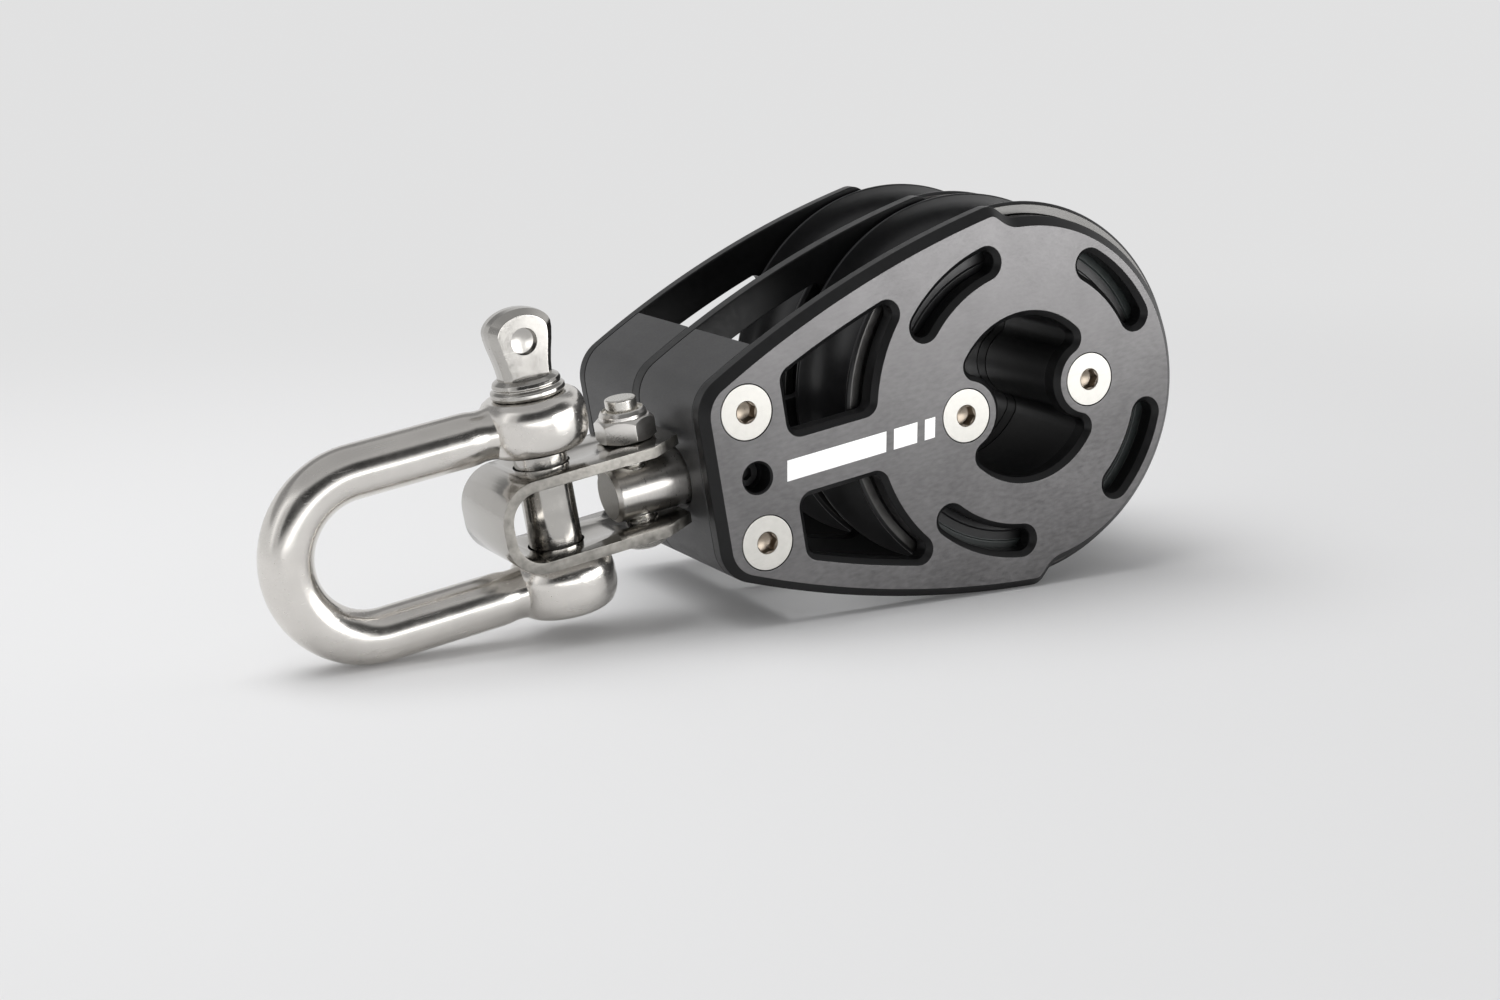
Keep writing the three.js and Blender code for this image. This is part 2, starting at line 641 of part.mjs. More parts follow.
pin = pin.subtract(rod(2.5, -1, 1.6, "y", [PIN_X, POST_Y - 3, headZ + 7.6], 20));
addNode("shackle_pin", pin, polished);

export default root;
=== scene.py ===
"""A double sheave block with its swivel post, clevis strap and D shackle, on a pale floor.

Shapes are drawn in millimetres about the sheave axis, at the middle of the block's width,
and put into the frame by to_frame(). A body's name says what it rides on.
"""

import math

import bmesh
import bpy
from mathutils import Matrix, Vector
from mathutils.geometry import tessellate_polygon


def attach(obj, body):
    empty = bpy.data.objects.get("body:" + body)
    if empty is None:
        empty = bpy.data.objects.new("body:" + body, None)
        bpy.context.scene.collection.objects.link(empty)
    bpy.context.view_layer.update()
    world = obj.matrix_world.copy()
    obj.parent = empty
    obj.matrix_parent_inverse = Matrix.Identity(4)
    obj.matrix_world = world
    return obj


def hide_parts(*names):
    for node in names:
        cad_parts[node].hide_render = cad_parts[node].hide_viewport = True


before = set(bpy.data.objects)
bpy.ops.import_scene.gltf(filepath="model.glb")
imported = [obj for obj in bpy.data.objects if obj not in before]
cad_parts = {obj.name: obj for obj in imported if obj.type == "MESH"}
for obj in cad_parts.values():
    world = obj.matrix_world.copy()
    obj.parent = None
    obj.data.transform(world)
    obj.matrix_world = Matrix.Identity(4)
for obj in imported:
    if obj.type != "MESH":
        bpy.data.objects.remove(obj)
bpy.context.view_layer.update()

MM = 0.001
FRAME_X = 56.6  # from the frame's origin to the sheave axis, mm
TAU = 2 * math.pi

# ---------------------------------------------------------------- dimensions, mm
HALF_W = 28.7  # half the width over both cheeks
CHEEK_T = 4.2
CHEEK_IN = HALF_W - CHEEK_T
PLATE_HALF = 1.5  # half the centre plate's thickness
BAY_Y = 13.0  # middle of each sheave bay
HEAD_X = -69.4  # front face of the head
HEAD_CORNER_R = 7.7
BLOCK_REAR_X = -55.4
SIDE_R, SIDE_CX, SIDE_CZ = 210.2, 26.2, 169.9  # the plates' long curved sides
END_R = 35.0
STEP_X = (-3.8, 3.15)  # where the long side steps in to the round end
SCREWS = {
    "head_top": (-60.3, 12.65), "head_bottom": (-60.3, -12.65),
    "hub_front": (-14.4, 0.0), "hub_rear": (14.4, 0.0),
}
HOLE_R, BOSS_X, BOSS_R, LOBE_R = 17.0, 14.4, 6.75, 3.0  # the lobed centre hole
SLOT_R, SLOT_HALF = 28.45, 3.36  # arc slots: middle radius and half width

SHEAVE_R, SHEAVE_HALF, BORE_R = 37.5, 10.6, 24.0
GROOVE_DEPTH, GROOVE_HALF = 8.2, 9.3
RING_IN, RING_OUT = 25.2, 31.5  # side ring
SHEEN_IN = 33.0  # the painted sheen on a sheave's side begins here
HUB_R, HUB_HALF = 19.8, 11.35
ROLLERS, ROLLER_R, ROLLER_HALF, ROLLER_RING_R = 10, 1.8, 9.35, 21.9

POST_Y = -13.0  # the shackle gear hangs from the near head block
POST_R, POST_END_X = 5.35, -83.7
LOCK_X = -60.2
BOLT_X = -78.0
BOLT_R = 2.98
STRAP_TOP, STRAP_BOTTOM = 9.65, -7.65
STRAP_END_X, STRAP_CLOSED_X = -70.4, -108.6
STRAP_T, STRAP_BEND_R, STRAP_HALF = 2.0, 7.4, 10.5
NUT_ACROSS, NUT_HEX_H, NUT_H = 10, 4.35, 6.0

PIN_X = -95.5
PIN_R = 4.95
CROWN_X = -130.5  # centre of the bow's half ring
LEG_Z = 15.3
WIRE_R = 4.98
SHACKLE_Z = 2.3  # the shackle sits this far above the post's axis
EYE_IN, EYE_OUT, EYE_R = 10.3, 20.5, 9.95


def to_frame(p):
    """A point in mm about the sheave axis, as metres in the frame."""
    return Vector(((p[0] + FRAME_X) * MM, p[1] * MM, p[2] * MM))


# ---------------------------------------------------------------- outlines
def arc(cx, cy, r, a0, a1, n):
    return [(cx + r * math.cos(a0 + (a1 - a0) * i / n),
             cy + r * math.sin(a0 + (a1 - a0) * i / n)) for i in range(n + 1)]


def clean(points):
    """The closed outline without doubled points, counter-clockwise."""
    gap = 0.004
    out = []
    for p in points:
        if not out or math.dist(out[-1], p) > gap:
            out.append(p)
    if math.dist(out[0], out[-1]) < gap:
        out.pop()
    area = sum(a[0] * b[1] - b[0] * a[1] for a, b in zip(out, out[1:] + out[:1]))
    return out if area > 0 else out[::-1]


def mirrored(points):
    return [(x, -y) for x, y in reversed(points)]


def offset(points, g):
    """The closed outline, grown by g all round."""
    n = len(points)
    out = []
    for i, (x, y) in enumerate(points):
        ax, ay = points[i - 1]
        bx, by = points[(i + 1) % n]
        d1 = Vector((x - ax, y - ay)).normalized()
        d2 = Vector((bx - x, by - y)).normalized()
        n1 = Vector((d1.y, -d1.x))
        n2 = Vector((d2.y, -d2.x))
        m = (n1 + n2).normalized()
        k = g / max(0.35, m.dot(n1))  # keeps sharp corners from running away
        out.append((x + m.x * k, y + m.y * k))
    return out


def fillet(points, n=4):
    """A polyline with its corners rounded: each point is (x, y) or (x, y, radius).

    A point is added just before and after each round, so that flats shade flat.
    """
    lead = 0.35  # how far out those points lie, in radii
    flat = math.pi - 0.01  # a corner flatter than this is left alone
    out = []
    last = len(points) - 1
    for i, p in enumerate(points):
        r = p[2] if len(p) > 2 else 0
        if i in (0, last) or r <= 0:
            out.append((p[0], p[1]))
            continue
        c = Vector(p[:2])
        a = Vector(points[i - 1][:2]) - c
        b = Vector(points[i + 1][:2]) - c
        la, lb = a.length, b.length
        a.normalize()
        b.normalize()
        angle = a.angle(b)
        if angle > flat:
            out.append((c.x, c.y))
            continue
        t = min(r / math.tan(angle / 2), 0.42 * la, 0.42 * lb)
        r = t * math.tan(angle / 2)
        centre = c + (a + b).normalized() * (r / math.sin(angle / 2))
        s = c + a * t
        e = c + b * t
        out.append(tuple(s + a * min(lead * r, 0.05 * la)))
        v0 = s - centre
        v1 = e - centre
        sweep = v0.angle_signed(v1)
        for k in range(n + 1):
            w = -sweep * k / n
            out.append((centre.x + v0.x * math.cos(w) - v0.y * math.sin(w),
                        centre.y + v0.x * math.sin(w) + v0.y * math.cos(w)))
        out.append(tuple(e + b * min(lead * r, 0.05 * lb)))
    return out


def circle(cx, cy, r, n):
    return [(cx + r * math.cos(TAU * i / n), cy + r * math.sin(TAU * i / n)) for i in range(n)]


def meet(ax, ay, ar, bx, by, br):
    """The two crossings of two circles."""
    d = math.hypot(bx - ax, by - ay)
    t = (ar * ar - br * br + d * d) / (2 * d)
    h = math.sqrt(ar * ar - t * t)
    ux, uy = (bx - ax) / d, (by - ay) / d
    return [(ax + t * ux - h * uy, ay + t * uy + h * ux),
            (ax + t * ux + h * uy, ay + t * uy - h * ux)]


def side_height(x, r):
    """Z at x on the circle of radius r about the long side's centre."""
    return -SIDE_CZ + math.sqrt(r ** 2 - (x - SIDE_CX) ** 2)


def side_angle(x, z):
    """The angle of a point seen from the long side's centre."""
    return math.atan2(z + SIDE_CZ, x - SIDE_CX)


def plate_outline(rear=None):
    """The plates' outer shape, or only its head end, cut off square at x = rear."""
    cx = HEAD_X + HEAD_CORNER_R
    cz = side_height(cx, SIDE_R - HEAD_CORNER_R)
    a0 = side_angle(cx, cz)
    upper = arc(cx, cz, HEAD_CORNER_R, math.pi, a0, 14)
    if rear is not None:
        a1 = side_angle(rear, side_height(rear, SIDE_R))
        upper += arc(SIDE_CX, -SIDE_CZ, SIDE_R, a0, a1, 12)
        return clean(upper + mirrored(upper))
    sx, ex = STEP_X
    sz = side_height(sx, SIDE_R)
    a1 = side_angle(sx, sz)
    ez = math.sqrt(END_R ** 2 - ex ** 2)
    e0 = math.atan2(ez, ex)
    pull = 3.4  # length of the step curve's handles
    p0, p3 = Vector((sx, sz)), Vector((ex, ez))
    p1 = p0 + Vector((math.sin(a1), -math.cos(a1))) * pull
    p2 = p3 - Vector((math.sin(e0), -math.cos(e0))) * pull
    step = []
    for i in range(17):
        t = i / 16
        q = (p0 * (1 - t) ** 3 + p1 * 3 * t * (1 - t) ** 2
             + p2 * 3 * t * t * (1 - t) + p3 * t ** 3)
        step.append((q.x, q.y))
    upper += arc(SIDE_CX, -SIDE_CZ, SIDE_R, a0, a1, 46) + step + arc(0, 0, END_R, e0, 0, 48)
    return clean(upper + mirrored(upper))


def window_outline():
    """The upper window: two flat sides, one round the hub, one along the plate's side."""
    left, inner, r_in, r_out, r = -52.7, 5.3, 33.95, 203.85, 3.0  # r rounds the corners
    p = (left + r, inner + r)
    q = (-math.sqrt((r_in + r) ** 2 - (inner + r) ** 2), inner + r)
    tip = min(meet(0, 0, r_in + r, SIDE_CX, -SIDE_CZ, r_out - r))
    top = (p[0], side_height(p[0], r_out - r))
    a_in = math.atan2(q[1], q[0])
    a_tip = math.atan2(tip[1], tip[0])
    b_tip = side_angle(*tip)
    b_left = side_angle(*top)
    return clean(
        arc(*p, r, math.pi, 1.5 * math.pi, 10) + arc(*q, r, -0.5 * math.pi, a_in - math.pi, 10)
        + arc(0, 0, r_in, a_in, a_tip, 24) + arc(*tip, r, a_tip - math.pi, b_tip, 18)
        + arc(SIDE_CX, -SIDE_CZ, r_out, b_tip, b_left, 24) + arc(*top, r, b_left, math.pi, 10))


def slot_outline(deg0, deg1):
    """An arc slot with round ends; the angles are those of the ends' centres."""
    r, h = SLOT_R, SLOT_HALF
    a0, a1 = math.radians(deg0), math.radians(deg1)
    return clean(
        arc(0, 0, r + h, a0, a1, 20)
        + arc(r * math.cos(a1), r * math.sin(a1), h, a1, a1 + math.pi, 16)
        + arc(0, 0, r - h, a1, a0, 20)
        + arc(r * math.cos(a0), r * math.sin(a0), h, a0 + math.pi, a0 + TAU, 16))


def lobed_outline():
    """The centre hole: round, with the two screw bosses reaching in from the sides."""
    c = max(meet(0, 0, HOLE_R - LOBE_R, BOSS_X, 0, BOSS_R + LOBE_R), key=lambda p: p[1])
    a_ring = math.atan2(c[1], c[0])
    a_boss = math.atan2(c[1], c[0] - BOSS_X)
    quarter = (arc(BOSS_X, 0, BOSS_R, math.pi, a_boss, 12)
               + arc(*c, LOBE_R, a_boss - math.pi, a_ring, 16)
               + arc(0, 0, HOLE_R, a_ring, math.pi / 2, 14))
    half = quarter + [(-x, y) for x, y in reversed(quarter)]
    return clean(half + mirrored(half))


# ---------------------------------------------------------------- meshes
class Shell:
    """Loops of points joined by strips of quads and closed by flat caps."""

    def __init__(self):
        self.verts = []
        self.faces = []

    def loop(self, points):
        start = len(self.verts)
        self.verts.extend(points)
        return list(range(start, start + len(points)))

    def strip(self, a, b):
        n = len(a)
        for i in range(n):
            j = (i + 1) % n
            self.faces.append((a[i], a[j], b[j], b[i]))

    def skin(self, loops):
        """Strips from each loop to the next."""
        for a, b in zip(loops, loops[1:]):
            self.strip(a, b)

    def cap(self, loops):
        """A flat face inside the first loop, with the other loops as holes."""
        if len(loops) == 1 and len(loops[0]) < 80:
            self.faces.append(tuple(loops[0]))
            return
        flat = [i for loop in loops for i in loop]
        rings = [[Vector(self.verts[i]) for i in loop] for loop in loops]
        for tri in tessellate_polygon(rings):
            self.faces.append(tuple(flat[k] for k in tri))

    def close(self, walls):
        """Caps both ends of nested walls, each a first and a last loop, outermost first."""
        for end in zip(*walls):
            self.cap(end)

    def fan(self, loop, point):
        tip = len(self.verts)
        self.verts.append(point)
        n = len(loop)
        for i in range(n):
            self.faces.append((loop[i], loop[(i + 1) % n], tip))

    def merge(self, other):
        shift = len(self.verts)
        self.verts += other.verts
        self.faces += [tuple(i + shift for i in face) for face in other.faces]

    def sweep(self, outline, profile, place):
        """Loops of the outline grown and raised along the profile, joined into a wall."""
        loops = [self.loop([place(x, y, h) for x, y in offset(outline, g)])
                 for g, h in profile]
        self.skin(loops)
        return loops[0], loops[-1]

    def bore(self, x, z, profile, place, n):
        """The same for a round hole at x, z whose radius follows the profile."""
        loops = [self.loop([place(*p, h) for p in circle(x, z, r, n)]) for r, h in profile]
        self.skin(loops)
        return loops[0], loops[-1]


def make_object(name, shell_or_mesh, smooth=30):
    """A cleaned object; edges sharper than smooth, in degrees, stay hard."""
    if isinstance(shell_or_mesh, Shell):
        mesh = bpy.data.meshes.new(name)
        mesh.from_pydata([to_frame(p) for p in shell_or_mesh.verts], [], shell_or_mesh.faces)
    else:
        mesh = shell_or_mesh
        mesh.name = name
    bm = bmesh.new()
    bm.from_mesh(mesh)
    bmesh.ops.remove_doubles(bm, verts=bm.verts, dist=1e-7)
    bmesh.ops.dissolve_degenerate(bm, dist=1e-8, edges=bm.edges)
    bmesh.ops.recalc_face_normals(bm, faces=bm.faces)
    bm.to_mesh(mesh)
    bm.free()
    mesh.polygons.foreach_set("use_smooth", [True] * len(mesh.polygons))
    mesh.set_sharp_from_angle(angle=math.radians(smooth))
    mesh.update()
    obj = bpy.data.objects.new(name, mesh)
    bpy.context.scene.collection.objects.link(obj)
    return obj


def along_y(x, z, h):
    return (x, h, z)


def turned(profile, axis, at, n):
    """A shell turned about an axis through at: profile of (radius, height)."""
    shell = Shell()
    ends = []
    loops = []

    def place(r, h, a):
        c, s = r * math.cos(a), r * math.sin(a)
        p = {"x": (h, c, s), "y": (c, h, s), "z": (c, s, h)}[axis]
        return (p[0] + at[0], p[1] + at[1], p[2] + at[2])

    for r, h in profile:
        if r < 1e-6:  # a point on the axis
            loops.append(None)
            ends.append(place(0, h, 0))
        else:
            loops.append(shell.loop([place(r, h, TAU * i / n) for i in range(n)]))
            ends.append(None)
    for i in range(len(profile) - 1):
        if loops[i] and loops[i + 1]:
            shell.strip(loops[i], loops[i + 1])
        elif loops[i + 1]:
            shell.fan(loops[i + 1], ends[i])
        elif loops[i]:
            shell.fan(loops[i], ends[i + 1])
    return shell


def closed_profile(points):
    """A closed profile, rounded at every corner and joined to its own start."""
    start = ((points[0][0] + points[-1][0]) / 2, (points[0][1] + points[-1][1]) / 2)
    return fillet([start] + points + [start], n=3)


def slab(outline, holes, low, high, r):
    """A plate square to Y with all its edges rounded by about r."""
    shell = Shell()
    outer = fillet([(-r - 0.3, low), (0, low, r), (0, high, r), (-r - 0.3, high)])
    walls = [shell.sweep(outline, outer, along_y)]
    inner = fillet([(r + 0.1, low), (0, low, r * 0.8), (0, high, r * 0.8), (r + 0.1, high)])
    walls += [shell.sweep(hole, inner, along_y) for hole in holes]
    shell.close(walls)
    return shell


def prism(outline, axis, low, high, at=(0, 0, 0)):
    """The outline pushed along an axis through at, from low to high."""
    shell = Shell()

    def place(u, v, h):
        p = {"x": (h, u, v), "y": (u, h, v), "z": (u, v, h)}[axis]
        return (p[0] + at[0], p[1] + at[1], p[2] + at[2])

    a = shell.loop([place(u, v, low) for u, v in outline])
    b = shell.loop([place(u, v, high) for u, v in outline])
    shell.strip(a, b)
    shell.close([(a, b)])
    return shell


def hexagon(across, turn=0.0):
    r = across / math.sqrt(3)
    return [(r * math.cos(turn + TAU * i / 6), r * math.sin(turn + TAU * i / 6))
            for i in range(6)]


def rod(r, axis, low, high, at, n):
    return prism(circle(0, 0, r, n), axis, low, high, at)


def applied(obj):
    """The object's mesh with its modifiers applied; the object itself is removed."""
    deps = bpy.context.evaluated_depsgraph_get()
    mesh = bpy.data.meshes.new_from_object(obj.evaluated_get(deps))
    bpy.data.objects.remove(obj)
    return mesh


def combine(name, base, tools, smooth=30):
    """base is a shell; tools are (operation, shell) pairs, worked in turn."""
    obj = make_object(name + "_base", base)
    for operation, shell in tools:
        tool = make_object(name + "_tool", shell)
        mod = obj.modifiers.new("cut", "BOOLEAN")
        mod.operation = operation
        mod.solver = "EXACT"
        mod.object = tool
        mesh = applied(obj)
        bpy.data.objects.remove(tool)
        obj = make_object(name + "_base", mesh, smooth)
    mesh = obj.data
    bpy.data.objects.remove(obj)
    return make_object(name, mesh, smooth)


def soften(obj, width, segments, angle, smooth):
    """Rounds the object's edges that are sharper than angle, in degrees."""
    mod = obj.modifiers.new("edges", "BEVEL")
    mod.width = width * MM
    mod.segments = segments
    mod.limit_method = "ANGLE"
    mod.angle_limit = math.radians(angle)
    mod.miter_outer = "MITER_ARC"
    mod.use_clamp_overlap = True
    name = obj.name
    return make_object(name, applied(obj), smooth)


# ---------------------------------------------------------------- materials
def build_material(name, color, rough, metallic, *, grain, bump, stretch=(1, 1, 1), tone=0.12,
                   rough_swing=0.08, fine=0.08, specular=0.5, marks=0.0):
    """A surface with a slow drift of tone, a finer grain, and hairline marks.

    grain and fine are feature sizes in mm, bump a height in mm, tone the drift as a part of
    the colour, rough_swing that of the roughness, and marks the roughness added by a hairline.
    """
    mat = bpy.data.materials.new(name)
    mat.use_nodes = True
    tree = mat.node_tree
    tree.nodes.clear()
    out = tree.nodes.new("ShaderNodeOutputMaterial")
    shader = tree.nodes.new("ShaderNodeBsdfPrincipled")
    tree.links.new(shader.outputs["BSDF"], out.inputs["Surface"])
    shader.inputs["Metallic"].default_value = metallic
    shader.inputs["Specular IOR Level"].default_value = specular
    where = tree.nodes.new("ShaderNodeTexCoord")

    def noise(size_mm, detail, scale):
        mapping = tree.nodes.new("ShaderNodeMapping")
        mapping.inputs["Scale"].default_value = scale
        tree.links.new(where.outputs["Object"], mapping.inputs["Vector"])
        tex = tree.nodes.new("ShaderNodeTexNoise")
        tex.inputs["Scale"].default_value = 1000.0 / size_mm
        tex.inputs["Detail"].default_value = detail
        tree.links.new(mapping.outputs["Vector"], tex.inputs["Vector"])
        return tex.outputs["Fac"]

    def math_node(op, a, b):
        node = tree.nodes.new("ShaderNodeMath")
        node.operation = op
        for socket, value in zip(node.inputs, (a, b)):
            if isinstance(value, (int, float)):
                socket.default_value = value
            else:
                tree.links.new(value, socket)
        return node.outputs[0]

    slow = noise(14.0, 3, (1, 1, 1))
    mid = noise(grain * 4, 5, stretch)
    small = noise(fine * 4, 3, stretch)
    mixed = math_node("ADD", math_node("MULTIPLY", slow, 0.45), math_node("MULTIPLY", mid, 0.55))
    ramp = tree.nodes.new("ShaderNodeValToRGB")
    ramp.color_ramp.elements[0].position = 0.36
    ramp.color_ramp.elements[1].position = 0.64
    ramp.color_ramp.elements[0].color = (*[c * (1 - tone) for c in color], 1)
    ramp.color_ramp.elements[1].color = (*[min(1, c * (1 + tone)) for c in color], 1)
    tree.links.new(mixed, ramp.inputs["Fac"])
    tree.links.new(ramp.outputs["Color"], shader.inputs["Base Color"])
    both = math_node("ADD", math_node("MULTIPLY", mid, 0.6), math_node("MULTIPLY", small, 0.4))
    swing = tree.nodes.new("ShaderNodeMapRange")
    swing.inputs["From Min"].default_value = 0.3
    swing.inputs["From Max"].default_value = 0.7
    swing.inputs["To Min"].default_value = max(0.02, rough - rough_swing)
    swing.inputs["To Max"].default_value = min(1.0, rough + rough_swing)
    tree.links.new(both, swing.inputs["Value"])
    rough_out = swing.outputs["Result"]
    if marks:
        scratch = noise(0.5, 2, (0.04, 1, 1.6))
        hair = math_node("MULTIPLY", math_node("GREATER_THAN", scratch, 0.68), marks)
        rough_out = math_node("ADD", rough_out, hair)
    tree.links.new(rough_out, shader.inputs["Roughness"])
    relief = tree.nodes.new("ShaderNodeBump")
    relief.inputs["Strength"].default_value = 0.6
    relief.inputs["Distance"].default_value = bump * MM
    tree.links.new(both, relief.inputs["Height"])
    tree.links.new(relief.outputs["Normal"], shader.inputs["Normal"])
    return mat


M = {
    "face": build_material("brushed_black_face", (0.136, 0.133, 0.134), 0.40, 0.9, grain=0.18,
                           stretch=(0.4, 1, 1), tone=0.15, rough_swing=0.09, bump=0.014,
                           fine=0.07),
    "black": build_material("black_anodised", (0.008, 0.008, 0.0085), 0.36, 0.0, grain=0.4,
                            tone=0.2, rough_swing=0.07, bump=0.005, specular=0.3),
    # painted sheen: the flange colour makes the flat sides of each sheave's rim brighter than the
    # rest of the black sheave
    "flange": build_material("painted_sheen_sheave_rim", (0.105, 0.103, 0.100), 0.36, 0.9, grain=0.4,
                             tone=0.12, rough_swing=0.06, bump=0.004),
    "head": build_material("head_satin", (0.037, 0.037, 0.038), 0.42, 0.0, grain=0.5,
                           stretch=(1, 0.4, 1), tone=0.18, rough_swing=0.08, bump=0.008),
    "sheave": build_material("sheave_black", (0.016, 0.016, 0.017), 0.34, 0.0, grain=0.5,
                             tone=0.2, rough_swing=0.06, bump=0.004),
    "hub": build_material("hub_black", (0.014, 0.014, 0.015), 0.40, 0.0, grain=0.5, tone=0.2,
                          bump=0.006),
    "ring": build_material("ring_grey_green", (0.052, 0.064, 0.062), 0.45, 0.0, grain=0.5,
                           tone=0.12, bump=0.004),
    "cage": build_material("cage_plastic", (0.03, 0.03, 0.03), 0.5, 0.0, grain=0.5, bump=0.006),
    "screw": build_material("screw_satin", (0.54, 0.53, 0.50), 0.44, 1.0, grain=0.3,
                            tone=0.05, rough_swing=0.07, bump=0.002, marks=0.12),
    # painted shade: the socket colour, darker and browner than the screw's steel, stands for the
    # shade in the hex hollow
    "socket": build_material("screw_socket", (0.32, 0.275, 0.225), 0.32, 1.0, grain=0.3,
                             tone=0.2, bump=0.008),
    "polished": build_material("forged_polished", (0.74, 0.715, 0.68), 0.21, 1.0, grain=1.4,
                               tone=0.05, rough_swing=0.05, bump=0.010, fine=0.3, marks=0.10),
    "pin": build_material("pin_polished", (0.50, 0.485, 0.46), 0.18, 1.0, grain=0.8, tone=0.06,
                          rough_swing=0.06, bump=0.008, fine=0.2, marks=0.12),
    "strap": build_material("strap_sheet", (0.46, 0.445, 0.42), 0.15, 1.0, grain=2.0,
                            tone=0.05, rough_swing=0.05, bump=0.006, fine=0.5, marks=0.08),
    "cut_edge": build_material("strap_cut_edge", (0.30, 0.288, 0.265), 0.44, 1.0, grain=0.45,
                               tone=0.34, rough_swing=0.16, bump=0.12, fine=0.15),
    "post": build_material("post_turned", (0.66, 0.64, 0.61), 0.30, 1.0, grain=0.25,
                           stretch=(2.5, 0.6, 0.6), tone=0.06, rough_swing=0.04, bump=0.0015),
    # painted shade: the post's end face gets a far darker colour than the post's own steel,
    # standing in for the dark room that it reflects
    "post_end": build_material("post_end_painted_shade", (0.20, 0.19, 0.17), 0.42, 1.0, grain=0.5,
                               tone=0.15, rough_swing=0.1, bump=0.01),
    "bolt": build_material("bolt_satin", (0.68, 0.66, 0.62), 0.27, 1.0, grain=0.6, tone=0.08,
                           rough_swing=0.06, bump=0.003, marks=0.08),
    "nut": build_material("nut_bright", (0.74, 0.72, 0.69), 0.30, 1.0, grain=1.2, tone=0.04,
                          rough_swing=0.04, bump=0.0006),
    "rod": build_material("rod_turned", (0.55, 0.54, 0.52), 0.32, 1.0, grain=0.3,
                          stretch=(1, 2.5, 1), bump=0.004),
    "nylon": build_material("nylon", (0.62, 0.60, 0.55), 0.5, 0.0, grain=0.5, bump=0.006),
    "mark": build_material("printed_mark", (0.96, 0.96, 0.95), 0.5, 0.6, grain=0.3, tone=0.03,
                           bump=0.004),
}


def finish(obj, body, nodes, slot, *names):
    """Gives the object its materials, body and replaced CAD nodes; the slot argument is not used.
    """
    for name in names:
        obj.data.materials.append(M[name])
    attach(obj, body)
    if nodes:
        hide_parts(*nodes)


def repaint(obj, index, test):
    """Gives a material index to the faces whose centre and normal, in mm, pass a test."""
    for poly in obj.data.polygons:
        c = poly.center
        p = (c.x / MM - FRAME_X, c.y / MM, c.z / MM)
        if test(p, poly.normal):
            poly.material_index = index


# ---------------------------------------------------------------- plates
plate = plate_outline()
windows = [window_outline()]
slots = [slot_outline(20.9, 51.7), slot_outline(101.2, 137.1)]
for openings in (windows, slots):
    openings += [clean(mirrored(opening)) for opening in openings]
lobed = lobed_outline()
cuts = windows + slots + [lobed]


def cheek(side, lock_hole):
    """side is -1 for the near cheek and 1 for the far one.

    The profiles are (growth or radius, distance from the block's middle).
    """
    def place(x, z, h):
        return (x, side * h, z)

    shell = Shell()
    bevel = 1.7
    outer = fillet([(-0.6, CHEEK_IN), (0, CHEEK_IN, 0.25), (0, HALF_W - bevel, 0.35),
                    (-bevel, HALF_W, 0.22), (-bevel - 0.6, HALF_W)])
    walls = [shell.sweep(plate, outer, place)]
    edge = fillet([(-0.8, CHEEK_IN), (-1.1, CHEEK_IN, 0.2), (-1.1, HALF_W - 1.1, 0.3),
                   (0, HALF_W, 0.18), (0.35, HALF_W)])
    walls += [shell.sweep(cut, edge, place) for cut in cuts]
    well = fillet([(3.1, CHEEK_IN), (2.8, CHEEK_IN, 0.1), (2.8, HALF_W - 2.8),
                   (5.35, HALF_W - 0.22), (5.35, HALF_W, 0.06), (5.6, HALF_W)])
    walls += [shell.bore(x, z, well, place, 72) for x, z in SCREWS.values()]
    if lock_hole:
        access = fillet([(3.1, CHEEK_IN), (2.85, CHEEK_IN, 0.1), (2.85, HALF_W - 0.35),
                         (3.2, HALF_W, 0.1), (3.4, HALF_W)])
        walls.append(shell.bore(LOCK_X, 0, access, place, 56))
    shell.close(walls)
    return shell


for name, side in (("near", -1), ("far", 1)):
    obj = make_object("cheek_" + name, cheek(side, side < 0))
    finish(obj, "block", [name + "_cheek"], "cheek", "black", "face")
    repaint(obj, 1, lambda p, n, s=side: n.y * s > 0.98 and p[1] * s > HALF_W - 0.05)

mark = Shell()
lean, bar_low, bar_high = 0.35, -2.3, 1.6  # three printed bars, slanted a little
for x0, x1 in ((-54.0, -32.5), (-30.8, -25.6), (-23.9, -21.6)):
    bar = [(x0 - lean, bar_low), (x1 - lean, bar_low), (x1 + lean, bar_high),
           (x0 + lean, bar_high)]
    low = mark.loop([(x, -HALF_W + 0.08, z) for x, z in bar])
    high = mark.loop([(x, -HALF_W - 0.03, z) for x, z in bar])
    mark.strip(low, high)
    mark.close([(low, high)])
finish(make_object("printed_bars", mark), "block", [], "cheek", "mark")

obj = make_object("middle_plate", slab(plate, cuts, -PLATE_HALF, PLATE_HALF, 0.3))
finish(obj, "block", ["centre_plate"], "centre_plate", "black")

head = plate_outline(BLOCK_REAR_X)
head_in, head_out = PLATE_HALF + 0.05, CHEEK_IN - 0.05
near = combine("head_near", slab(head, [], -head_out, -head_in, 0.25), [
    ("DIFFERENCE", turned(fillet([
        (0, -75), (6.3, -75), (6.3, HEAD_X - 0.05), (5.6, HEAD_X + 0.65), (5.6, -63.0),
        (7.5, -63.0), (7.5, -50), (0, -50)]), "x", (0, POST_Y, 0), 72)),
    ("DIFFERENCE", rod(2.85, "y", -30, POST_Y, (LOCK_X, 0, 0), 48)),
])
finish(near, "block", ["head_block_near"], "head_block", "head")
far = make_object("head_far", slab(head, [], head_in, head_out, 0.25))
finish(far, "block", ["head_block_far"], "head_block", "head")

